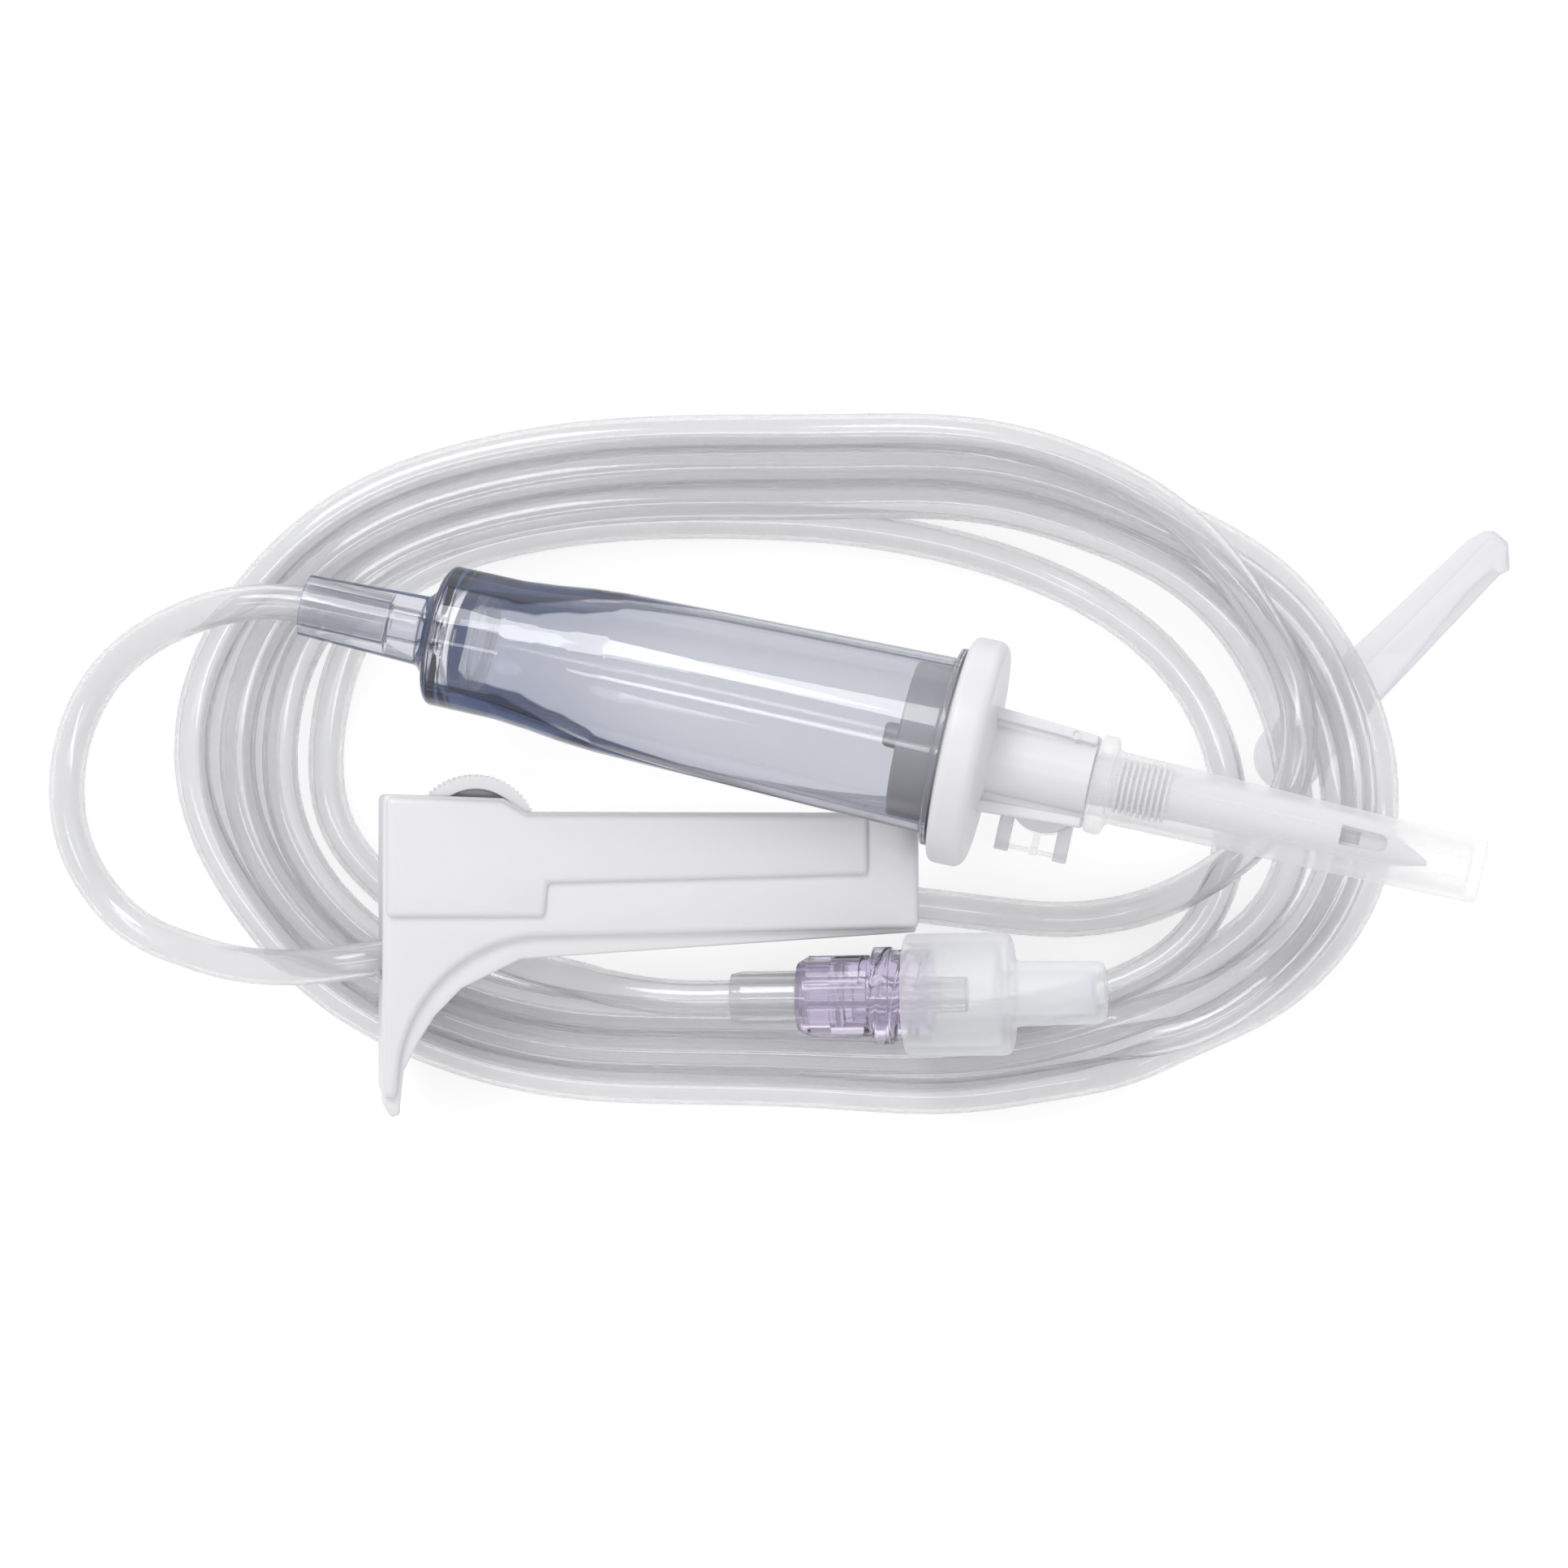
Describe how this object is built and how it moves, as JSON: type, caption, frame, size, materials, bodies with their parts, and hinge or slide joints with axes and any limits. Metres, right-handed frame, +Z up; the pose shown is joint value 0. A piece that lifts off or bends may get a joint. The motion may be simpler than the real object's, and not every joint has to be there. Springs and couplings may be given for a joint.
{
  "type": "iv infusion set",
  "caption": "Coiled gravity infusion set: vented spike with cap, drip chamber, roller clamp, soft clear tube and a capped luer lock end.",
  "frame": {"origin": "centre of the bounding box of the rigid pieces that aren't on the free tube, on the surface that the set lies on", "axes": "+X along the set's long side, from the tube loop towards the spike's tip; +Y across it, towards the hooked head of the strip; +Z up"},
  "size_m": [0.169, 0.0801, 0.0338],
  "materials": {
    "white_abs": "satin moulded white",
    "chamber_clear": "clear bluish moulded plastic",
    "tube_clear": "soft clear extruded plastic",
    "frosted_cap": "frosted translucent plastic",
    "luer_clear": "clear hard plastic",
    "violet_clear": "violet tinted clear plastic",
    "strip_frosted": "frosted translucent plastic",
    "filter_white": "matt white membrane"
  },
  "bodies": {
    "set": {"clamp_body": "white_abs", "clip": "strip_frosted", "drip_chamber": "chamber_clear", "filter_membrane": "filter_white", "filter_ring": "chamber_clear", "luer_connector": "luer_clear", "spike_body": "white_abs", "tube_coil": "tube_clear", "tube_exit_run": "tube_clear", "tube_in_clamp": "tube_clear", "tube_loop": "tube_clear", "tube_tail": "tube_clear", "vent_filter": "filter_white", "vent_lug_left": "frosted_cap", "vent_lug_right": "frosted_cap"},
    "spike_cap": {"spike_cap": "frosted_cap"},
    "vent_cap": {"vent_cap": "frosted_cap"},
    "roller_wheel": {"roller_wheel": "white_abs"},
    "luer_collar": {"luer_collar": "violet_clear"},
    "luer_cap": {"luer_cap": "frosted_cap", "luer_cap_membrane": "filter_white"}
  },
  "joints": [
    {"name": "spike_cap_slide", "type": "slide", "parent": "set", "child": "spike_cap", "axis": [0.9677, -0.2252, 0.1132], "range_m": [0, 0.046]},
    {"name": "vent_cap_hinge", "type": "hinge", "parent": "set", "child": "vent_cap", "pos_m": [0.01404, -0.00356, 0.01441], "axis": [-0.9696, 0.2167, -0.1132], "range_deg": [0, 100]},
    {"name": "roller_slide", "type": "slide", "parent": "set", "child": "roller_wheel", "axis": [0.9911, -0.0494, -0.1234], "range_m": [0, 0.04], "deforming": ["tube_in_clamp"]},
    {"name": "luer_collar_turn", "type": "hinge", "parent": "set", "child": "luer_collar", "pos_m": [-0.00547, -0.02, 0.01282], "axis": [0.9888, 0.0198, 0.1478], "continuous": true},
    {"name": "luer_cap_slide", "type": "slide", "parent": "set", "child": "luer_cap", "axis": [0.9888, 0.0198, 0.1478], "range_m": [0, 0.02]}
  ]
}
